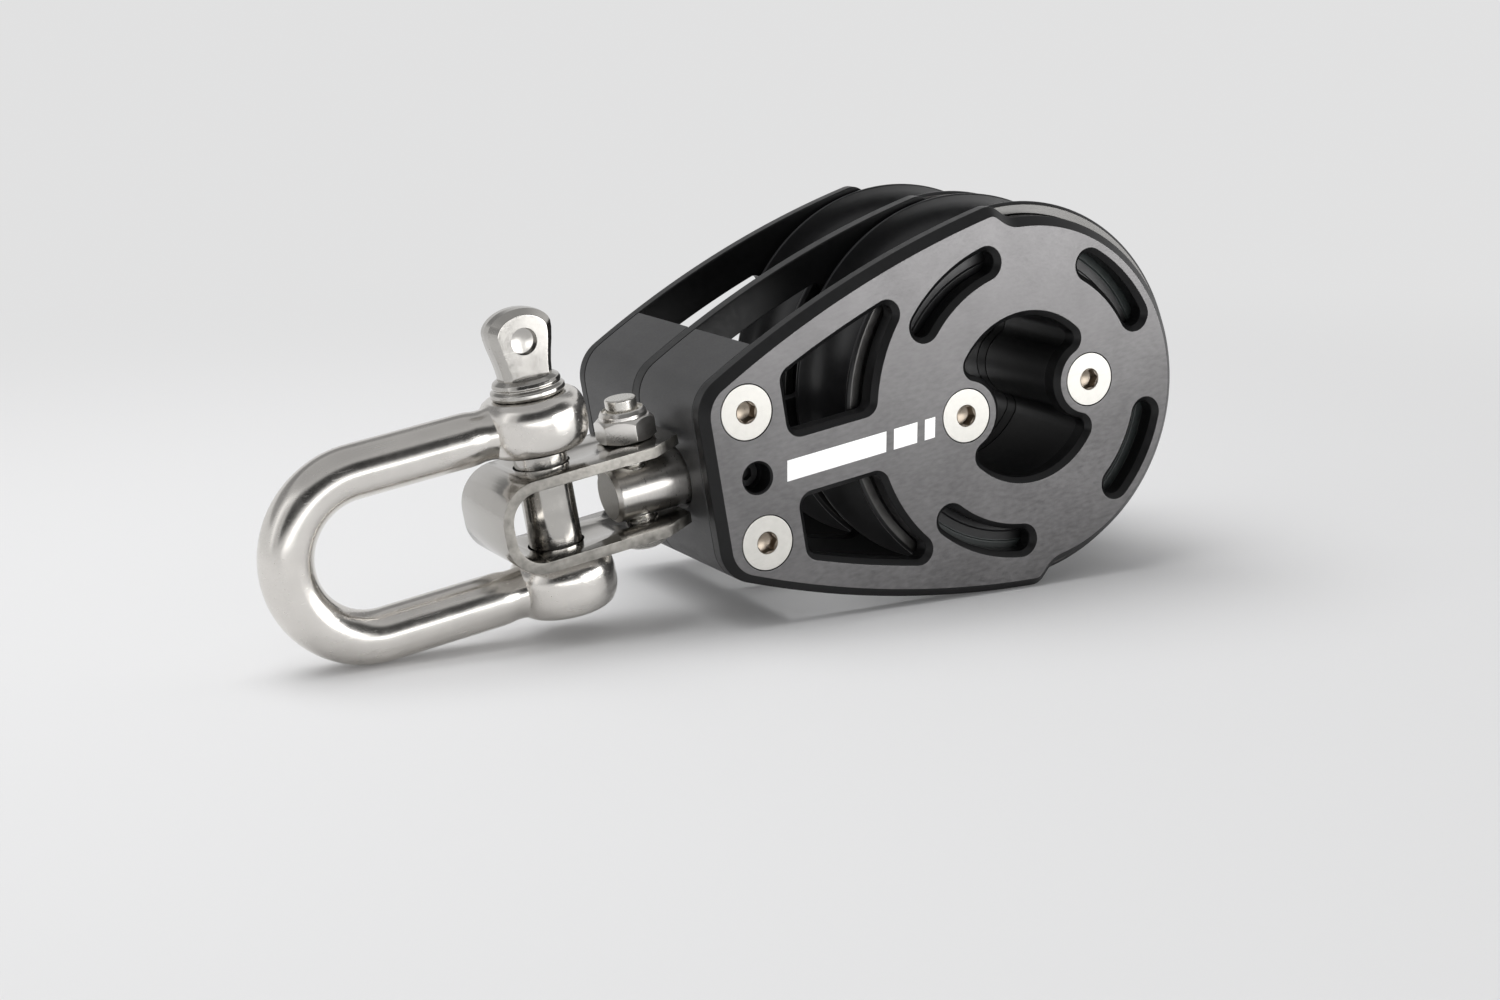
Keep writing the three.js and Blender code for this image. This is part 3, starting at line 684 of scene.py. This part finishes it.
# ---------------------------------------------------------------- sheaves and bearings
def sheave_profile():
    """Half the section is given, then mirrored: (radius, distance from the middle, round)."""
    side, floor_y, shallow = SHEAVE_HALF, 9.3, 10.2
    seat_in, seat_out = RING_IN - 0.3, RING_OUT + 0.3
    half = [
        (BORE_R, side, 0.2), (seat_in, side, 0.15), (seat_in, floor_y, 0.15),
        (seat_out, floor_y, 0.15), (seat_out, side, 0.25), (33.2, side, 0.15),
        (33.5, shallow, 0.1), (34.9, shallow, 0.1), (35.2, side, 0.15), (36.9, side, 0.45),
        (SHEAVE_R, 10.15, 0.35), (SHEAVE_R, 9.5, 0.3),
    ]
    groove = []
    for i in range(1, 24):
        a = math.pi * i / 24
        groove.append((SHEAVE_R - GROOVE_DEPTH * math.sin(a) ** 0.9, GROOVE_HALF * math.cos(a)))
    return half + groove + [(p[0], -p[1], *p[2:]) for p in reversed(half)]


def side_ring_profile(out):
    """A stepped ring; out is the side of the sheave, 1 or -1, that it is set in."""
    section = [(RING_IN, 9.6, 0.1), (RING_OUT, 9.6, 0.1), (RING_OUT, 10.75, 0.25),
               (29.6, 10.9, 0.2), (29.3, 10.6, 0.12), (27.6, 10.6, 0.12), (27.3, 10.9, 0.2),
               (RING_IN, 10.75, 0.2)]
    return closed_profile([(r, h * out, f) for r, h, f in section])


def hub_tube(y0):
    shell = Shell()
    low, high = y0 - HUB_HALF, y0 + HUB_HALF
    outer = fillet([(-0.4, low), (0, low, 0.25), (0, high, 0.25), (-0.4, high)])
    inner = fillet([(0.4, low), (0, low, 0.3), (0, high, 0.3), (0.4, high)])
    walls = [shell.sweep(circle(0, 0, HUB_R, 128), outer, along_y),
             shell.sweep(lobed, inner, along_y)]
    shell.close(walls)
    return shell


def roller_bearing(at):
    """Two end bands of the cage with the rollers between them."""
    shell = Shell()
    for low, high in ((-10.8, -9.4), (9.4, 10.8)):
        band = closed_profile([(20.7, low, 0.2), (23.1, low, 0.2), (23.1, high, 0.2),
                               (20.7, high, 0.2)])
        shell.merge(turned(band, "y", at, 96))
    roller = fillet([(0, -ROLLER_HALF), (ROLLER_R, -ROLLER_HALF, 0.3),
                     (ROLLER_R, ROLLER_HALF, 0.3), (0, ROLLER_HALF)])
    for i in range(ROLLERS):
        a = TAU * (i + 0.5) / ROLLERS
        spot = (ROLLER_RING_R * math.cos(a), at[1], ROLLER_RING_R * math.sin(a))
        shell.merge(turned(roller, "y", spot, 20))
    return shell


for name, side in (("near", -1), ("far", 1)):
    at = (0, side * BAY_Y, 0)
    obj = make_object("wheel_" + name, turned(closed_profile(sheave_profile()), "y", at, 160), 40)
    finish(obj, "sheave_" + name, ["sheave_" + name], "sheave", "sheave", "flange")
    # painted sheen: the flat sides of the rim take the brighter flange colour
    repaint(obj, 1, lambda p, n, y0=at[1]: (
        abs(n.y) > 0.9 and abs(p[1] - y0) > 9.9 and math.hypot(p[0], p[2]) > SHEEN_IN))
    for where, out in (("outer", side), ("inner", -side)):
        obj = make_object(f"race_{name}_{where}",
                          turned(side_ring_profile(out), "y", at, 144), 40)
        finish(obj, "sheave_" + name, [f"side_ring_{name}_{where}"], "side_ring", "ring", "hub")
        # painted shade: the ring's inner part, inside r 28.9, takes the black hub colour
        repaint(obj, 1, lambda p, n: math.hypot(p[0], p[2]) < 28.9)
    obj = make_object("hub_tube_" + name, hub_tube(at[1]))
    finish(obj, "block", ["hub_" + name], "hub", "hub")
    obj = make_object("bearing_" + name, roller_bearing(at))
    finish(obj, "cage_" + name, ["roller_cage_" + name], "cage", "cage")

# ---------------------------------------------------------------- screws
head_profile = fillet([(0, 0.02), (5.2, 0.02, 0.12), (5.2, 0.25), (2.5, 2.95), (2.5, 13.5),
                       (2.0, 14.0), (0, 14.0)], n=3)
base = turned(head_profile, "y", (0, 0, 0), 72)
cone = turned([(0, -1), (3.2, -1), (2.15, 0.05), (1.9, 0.3), (0, 0.3)], "y", (0, 0, 0), 48)
socket_tip = turned([(0, 1.0), (1.75, 1.0), (1.75, 2.3), (0, 3.0)], "y", (0, 0, 0), 24)
screw = combine("screw", base, [
    ("DIFFERENCE", prism(hexagon(3.6, 0.35), "y", -1, 2.2)),
    ("DIFFERENCE", cone),
    ("DIFFERENCE", socket_tip),
])
screw_mesh = screw.data.copy()
bpy.data.objects.remove(screw)
origin = to_frame((0, 0, 0))
for key, (x, z) in SCREWS.items():
    for name, side in (("near", -1), ("far", 1)):
        mesh = screw_mesh.copy()
        turn = Matrix.Rotation((x + z) * 0.9, 4, "Y")  # each socket ends up turned differently
        flip = Matrix.Scale(-1, 4, (0, 1, 0)) if side > 0 else Matrix.Identity(4)
        move = Matrix.Translation(to_frame((x, side * HALF_W, z)))
        mesh.transform(move @ flip @ turn @ Matrix.Translation(-origin))
        obj = make_object(f"cap_screw_{name}_{key}", mesh)
        finish(obj, "block", [f"screw_{name}_{key}"], "screw", "screw", "socket")
        # painted shade: the faces inside the socket take the darker socket colour
        repaint(obj, 1, lambda p, n, s=side, x0=x, z0=z: (
            math.hypot(p[0] - x0, p[2] - z0) < 2.2 and abs(p[1]) < HALF_W - 0.1))

# ---------------------------------------------------------------- swivel post
chamfer, flange_r = 0.75, 7.25
post_profile = fillet([
    (0, POST_END_X), (POST_R - chamfer, POST_END_X, 0.15), (POST_R, POST_END_X + chamfer, 0.25),
    (POST_R, -62.0), (flange_r, -62.0, 0.2), (flange_r, -61.4), (6.0, -61.4), (6.0, -59.0),
    (flange_r, -59.0), (flange_r, -58.0, 0.3), (0, -58.0)])
post = combine("post", turned(post_profile, "x", (0, POST_Y, 0), 96), [
    ("DIFFERENCE", rod(3.25, "z", -20, 20, (BOLT_X, POST_Y, 0), 56))])
finish(post, "post", ["swivel_post"], "post", "post", "post_end")
# painted shade: the end face takes the darker post_end colour
repaint(post, 1, lambda p, n: n.x < -0.9 and p[0] < POST_END_X + chamfer)

# ---------------------------------------------------------------- strap
def strap_section():
    """A U seen from the side, with its bend at the shackle's end."""
    r = STRAP_BEND_R
    s = r - STRAP_T
    left, top, bottom = STRAP_CLOSED_X + r, STRAP_TOP - r, STRAP_BOTTOM + r
    outside = (arc(left, top, r, math.pi / 2, math.pi, 18)
               + arc(left, bottom, r, math.pi, 1.5 * math.pi, 18))
    inside = (arc(left, bottom, s, 1.5 * math.pi, math.pi, 18)
              + arc(left, top, s, math.pi, math.pi / 2, 18))
    end = STRAP_END_X
    return clean([(end, STRAP_TOP)] + outside + [(end, STRAP_BOTTOM)]
                 + [(end, STRAP_BOTTOM + STRAP_T)] + inside + [(end, STRAP_TOP - STRAP_T)])


cut_x, tip_y, past_bend = -77.3, 5.9, -120  # the legs' ends are cut off at an angle
plan = [(past_bend, -STRAP_HALF), (cut_x, -STRAP_HALF), (STRAP_END_X, -tip_y),
        (STRAP_END_X, tip_y), (cut_x, STRAP_HALF), (past_bend, STRAP_HALF)]
sheet = prism(strap_section(), "y", POST_Y - STRAP_HALF, POST_Y + STRAP_HALF)
strap = combine("strap_sheet", sheet, [
    ("INTERSECT", prism([(x, y + POST_Y) for x, y in plan], "z", -20, 20)),
    ("DIFFERENCE", rod(3.3, "z", -20, 20, (BOLT_X, POST_Y, 0), 56)),
    ("DIFFERENCE", rod(5.3, "z", -20, 20, (PIN_X, POST_Y, 0), 72)),
])
strap = soften(strap, 0.28, 3, 40, 35)
finish(strap, "strap", ["strap"], "strap", "strap", "cut_edge")
repaint(strap, 1, lambda p, n: abs(n.y) > 0.55)

# ---------------------------------------------------------------- cross bolt and nut
thread = []
z = -7.6
while z < 14.8:
    thread += [(BOLT_R, z), (BOLT_R - 0.32, z + 0.42), (BOLT_R, z + 0.84)]
    z += 1.0
bolt_profile = fillet([(0, -11.25), (2.7, -11.25, 0.2), (4.1, -10.6, 0.8), (5.0, -9.6, 0.8),
                       (5.25, -8.5, 0.3), (5.25, -7.95, 0.15), (3.0, -7.95)])
bolt_profile += thread + fillet([(BOLT_R, 15.7), (BOLT_R, 17.7, 0.35), (0, 17.7)])
bolt = combine("bolt_and_head", turned(bolt_profile, "z", (BOLT_X, POST_Y, 0), 64), [
    ("DIFFERENCE", prism(hexagon(4.0), "z", -14, -9.3, (BOLT_X, POST_Y, 0)))])
finish(bolt, "strap", ["cross_bolt"], "bolt", "bolt")

foot = STRAP_TOP + 0.06
at = (BOLT_X, POST_Y, foot)
rounded = turned(fillet([(0, 0), (4.8, 0), (5.85, 0.6), (5.85, 3.5), (4.9, NUT_HEX_H),
                         (0, NUT_HEX_H)]), "z", at, 72)
collar = turned(fillet([(0, 3.0), (4.5, 3.0), (4.5, 5.0, 0.6), (4.05, 5.85, 0.6),
                        (3.6, NUT_H, 0.2), (0, NUT_H)]), "z", at, 72)
nut = combine("nut", prism(hexagon(NUT_ACROSS, 0.47), "z", 0, NUT_HEX_H, at), [
    ("INTERSECT", rounded),
    ("UNION", collar),
    ("DIFFERENCE", rod(3.15, "z", -1, 7, at, 56)),
    ("DIFFERENCE", rod(3.9, "z", 4.9, 7, at, 56)),
])
nut = soften(nut, 0.10, 2, 28, 30)
finish(nut, "strap", ["lock_nut"], "bolt", "nut")
lock_ring = turned(closed_profile([(3.05, 4.95, 0.1), (3.85, 4.95, 0.1), (3.85, 5.45, 0.15),
                                   (3.05, 5.45, 0.15)]), "z", at, 56)
finish(make_object("nut_ring", lock_ring), "strap", ["nut_insert"], "nylon", "nylon")

# ---------------------------------------------------------------- shackle
def swept_wire():
    """The bow's bar: two legs and a half ring, drawn in a little at the necks."""
    start = PIN_X - 1.0  # inside the eye
    path = [(start + (CROWN_X - start) * i / 24, LEG_Z) for i in range(25)]
    path += [(CROWN_X - LEG_Z * math.sin(math.pi * i / 64), LEG_Z * math.cos(math.pi * i / 64))
             for i in range(1, 64)]
    path += [(x, -z) for x, z in reversed(path[:25])]
    shell = Shell()
    loops = []
    for i, (x, z) in enumerate(path):
        ax, az = path[max(0, i - 1)]
        bx, bz = path[min(len(path) - 1, i + 1)]
        t = Vector((bx - ax, 0, bz - az)).normalized()
        side = Vector((-t.z, 0, t.x))
        r = WIRE_R
        neck = x - (PIN_X - 9.0)
        if neck > -6:
            r = WIRE_R - 0.35 * math.exp(-((neck + 1.2) / 1.6) ** 2)
        centre = Vector((x, POST_Y, z + SHACKLE_Z))
        loop = []
        for k in range(48):
            a = TAU * k / 48
            out = side * (r * math.cos(a)) + Vector((0, r * math.sin(a), 0))
            loop.append(tuple(centre + out))
        loops.append(shell.loop(loop))
    shell.skin(loops)
    shell.close([(loops[0], loops[-1])])
    return shell


def eye(side):
    """A barrel at the end of the upper leg (side 1) or the lower one (-1)."""
    barrel = [k / 16 for k in range(-15, 15)]
    middle, half = (EYE_OUT + EYE_IN) / 2, (EYE_OUT - EYE_IN) / 2
    points = [(0, EYE_IN), (7.9, EYE_IN, 0.9)]
    points += [(EYE_R - 1.75 * abs(t) ** 3.2, middle + half * t) for t in barrel]
    points += [(7.9, EYE_OUT, 1.0), (0, EYE_OUT)]
    profile = [(r, h * side) for r, h in fillet(points, n=6)]
    return turned(profile, "z", (PIN_X, POST_Y, SHACKLE_Z), 96)


bow = combine("bow", swept_wire(), [
    ("UNION", eye(1)),
    ("UNION", eye(-1)),
    ("DIFFERENCE", rod(11.5, "z", -EYE_IN, EYE_IN, (PIN_X + 1.5, POST_Y, SHACKLE_Z), 64)),
    ("DIFFERENCE", rod(5.25, "z", -40, 40, (PIN_X, POST_Y, SHACKLE_Z), 72)),
], 35)
finish(bow, "bow", ["shackle_bow"], "shackle", "polished")

top = SHACKLE_Z + EYE_OUT + 0.1  # the pin's collar sits here
pin_profile = fillet([
    (0, -17.8), (4.2, -17.8, 0.2), (PIN_R, -17.0, 0.3), (PIN_R, top), (6.5, top, 0.2),
    (6.9, top + 0.5, 0.4), (6.85, top + 1.3, 0.4), (6.1, top + 1.75, 0.2), (6.35, top + 2.2, 0.3),
    (6.15, top + 2.9, 0.3), (5.2, top + 3.5, 0.5), (0, top + 3.6)], n=5)
lug = [(4.6, top - 1.6), (4.8, top + 3.6), (5.0, top + 5.4), (5.4, top + 7.4),
       (5.9, top + 9.4), (6.25, top + 11.4)]
arch = [(6.3 * math.cos(a), top + 12.2 + 3.9 * math.sin(a))
        for a in [math.pi * i / 28 for i in range(1, 28)]]
outline = clean(lug + arch + [(-x, z) for x, z in reversed(lug)])
lug_shell = Shell()
wall = fillet([(0.62, -3.0), (0.76, -3.0, 0.03), (0.98, -1.7, 0.1), (1.0, 0, 0.2),
               (0.98, 1.7, 0.1), (0.76, 3.0, 0.03), (0.62, 3.0)], n=4)
middle = top + 7.4
loops = [lug_shell.loop([(x * g + PIN_X, h + POST_Y, middle + (z - middle) * (0.45 + 0.55 * g))
                         for x, z in outline]) for g, h in wall]
lug_shell.skin(loops)
lug_shell.close([(loops[0], loops[-1])])
dimple = turned([(0, -4.0), (2.55, -4.0), (2.5, -2.7), (2.3, -1.6), (0, -1.3)], "y",
                (PIN_X, POST_Y, top + 10.2), 48)
pin = combine("pin", lug_shell, [
    ("DIFFERENCE", dimple), ("UNION", turned(pin_profile, "z", (PIN_X, POST_Y, 0), 96))], 32)
finish(pin, "pin", ["shackle_pin"], "pin", "pin")

# ---------------------------------------------------------------- CAD nodes that stay
# painted shade: the lock screw takes the black hub colour so that it looks dark at the bottom of
# its hole
for node, key in (("thrust_washer", "ring"), ("lock_screw", "hub"),
                  *[("tie_rod_" + k, "rod") for k in SCREWS]):
    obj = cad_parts[node]
    obj.data.materials.clear()
    obj.data.materials.append(M[key])

# ---------------------------------------------------------------- floor
TILT = math.radians(8.95)  # the block rests on its cheeks and on the shackle
FLOOR_NORMAL = Vector((math.sin(TILT), 0, math.cos(TILT)))
FLOOR_LEVEL = SIDE_CX * math.sin(TILT) + SIDE_CZ * math.cos(TILT) - SIDE_R


def floor():
    """A disc of rings, touching the long lower side of the cheeks."""
    across = Vector((math.cos(TILT), 0, -math.sin(TILT)))
    base = to_frame(FLOOR_NORMAL * FLOOR_LEVEL)
    mesh = bpy.data.meshes.new("floor")
    radii = [0.15, 0.4, 0.9, 2.0, 6.0]  # metres
    verts = [base]
    n = 64
    for r in radii:
        for i in range(n):
            a = TAU * i / n
            verts.append(base + across * (r * math.cos(a)) + Vector((0, r * math.sin(a), 0)))
    faces = [(0, 1 + i, 1 + (i + 1) % n) for i in range(n)]
    for k in range(len(radii) - 1):
        for i in range(n):
            a, b = 1 + k * n + i, 1 + k * n + (i + 1) % n
            faces.append((a, a + n, b + n, b))
    mesh.from_pydata(verts, [], faces)
    mesh.update()
    obj = bpy.data.objects.new("floor", mesh)
    bpy.context.scene.collection.objects.link(obj)
    return obj


ground = floor()

PALE = (0.755, 0.755, 0.757)


def floor_material():
    """Matt and pale near the object, and fading further out into the backdrop's own tone."""
    mat = bpy.data.materials.new("floor")
    mat.use_nodes = True
    tree = mat.node_tree
    tree.nodes.clear()
    out = tree.nodes.new("ShaderNodeOutputMaterial")
    shade = tree.nodes.new("ShaderNodeBsdfPrincipled")
    shade.inputs["Base Color"].default_value = (0.82, 0.82, 0.825, 1)
    shade.inputs["Roughness"].default_value = 0.6
    shade.inputs["Specular IOR Level"].default_value = 0.0
    glow = tree.nodes.new("ShaderNodeEmission")
    glow.inputs["Color"].default_value = (*PALE, 1)
    where = tree.nodes.new("ShaderNodeTexCoord")
    length = tree.nodes.new("ShaderNodeVectorMath")
    length.operation = "LENGTH"
    tree.links.new(where.outputs["Object"], length.inputs[0])
    fade = tree.nodes.new("ShaderNodeMapRange")
    fade.inputs["From Min"].default_value = 0.10
    fade.inputs["From Max"].default_value = 0.50
    fade.inputs["To Min"].default_value = 0.10
    fade.interpolation_type = "SMOOTHSTEP"
    tree.links.new(length.outputs["Value"], fade.inputs["Value"])
    mix = tree.nodes.new("ShaderNodeMixShader")
    tree.links.new(fade.outputs["Result"], mix.inputs["Fac"])
    tree.links.new(shade.outputs["BSDF"], mix.inputs[1])
    tree.links.new(glow.outputs["Emission"], mix.inputs[2])
    tree.links.new(mix.outputs["Shader"], out.inputs["Surface"])
    return mat


ground.data.materials.append(floor_material())

# ---------------------------------------------------------------- light
def studio():
    """Pale all round at eye level, dimmer towards the zenith, with a dark room behind the camera.
    """
    world = bpy.data.worlds.new("studio")
    world.use_nodes = True
    tree = world.node_tree
    where = tree.nodes.new("ShaderNodeTexCoord")
    split = tree.nodes.new("ShaderNodeSeparateXYZ")
    tree.links.new(where.outputs["Generated"], split.inputs[0])

    def rise(value, low, high, first=0.0, last=1.0):
        node = tree.nodes.new("ShaderNodeMapRange")
        node.interpolation_type = "SMOOTHSTEP"
        for key, number in (("From Min", low), ("From Max", high), ("To Min", first),
                            ("To Max", last)):
            node.inputs[key].default_value = number
        tree.links.new(value, node.inputs["Value"])
        return node.outputs["Result"]

    def times(a, b):
        node = tree.nodes.new("ShaderNodeMath")
        node.operation = "MULTIPLY"
        tree.links.new(a, node.inputs[0])
        tree.links.new(b, node.inputs[1])
        return node.outputs[0]

    _, y, z = split.outputs
    band = times(rise(z, 0.12, 0.26), rise(z, 0.62, 0.80, 1, 0))
    front = times(band, rise(y, -0.45, 0.05, 1, 0))
    back = times(times(rise(z, 0.34, 0.48), rise(z, 0.70, 0.82, 1, 0)), rise(y, 0.05, 0.4))
    light = times(rise(front, 0, 1, 1, 0.05), rise(back, 0, 1, 1, 0.40))
    light = times(light, rise(z, 0.5, 0.95, 1, 0.6))
    tree.links.new(light, tree.nodes["Background"].inputs["Strength"])
    tree.nodes["Background"].inputs["Color"].default_value = (*PALE, 1)
    return world


bpy.context.scene.world = studio()


def area(name, place, target, size, watts):
    data = bpy.data.lights.new(name, "AREA")
    data.shape = "RECTANGLE"
    data.size, data.size_y = size
    data.energy = watts
    obj = bpy.data.objects.new(name, data)
    obj.location = place
    aim = Vector(target) - Vector(place)
    obj.rotation_euler = aim.to_track_quat("-Z", "Y").to_euler()
    bpy.context.scene.collection.objects.link(obj)
    return obj


above = area("top_soft", (-0.10, 0.15, 0.85), (0.0, 0.0, 0.0), (0.8, 0.8), 6.0)
above.visible_glossy = False
area("left_soft", (-0.75, -0.25, 0.45), (-0.05, 0, 0.0), (0.5, 0.6), 0.5)
card = area("front_card", (0.17, -0.20, 0.015), (0.03, -0.03, 0.015), (0.26, 0.10), 0.36)
low = area("low_card", (-0.12, -0.33, 0.0), (-0.09, -0.013, 0.0), (0.36, 0.05), 0.13)
for light in (card, low):  # seen only as reflections
    light.visible_camera = False
    light.visible_diffuse = False

# ---------------------------------------------------------------- camera
CAMERA_AT = (-244.6, -418.85, 123.6)  # mm about the sheave axis
CAMERA_ANGLES = (25.0235, 16.4600, -9.2866)  # turned off the Y axis, tipped down, rolled

lens = bpy.data.cameras.new("camera")
lens.lens = 58.51
lens.sensor_width = 36.0
lens.clip_start = 0.01
camera = bpy.data.objects.new("camera", lens)
heading, dip, roll = (math.radians(deg) for deg in CAMERA_ANGLES)
forward = Vector((math.sin(heading) * math.cos(dip), math.cos(heading) * math.cos(dip),
                  -math.sin(dip)))
level = Vector((math.cos(heading), -math.sin(heading), 0))
right = level * math.cos(roll) + level.cross(forward) * math.sin(roll)
up = right.cross(forward)
spot = to_frame(CAMERA_AT)
pose = Matrix((
    (right.x, up.x, -forward.x, spot.x),
    (right.y, up.y, -forward.y, spot.y),
    (right.z, up.z, -forward.z, spot.z),
    (0, 0, 0, 1),
))
camera.matrix_world = pose
bpy.context.scene.collection.objects.link(camera)
bpy.context.scene.camera = camera
bpy.context.scene.view_settings.view_transform = "Standard"
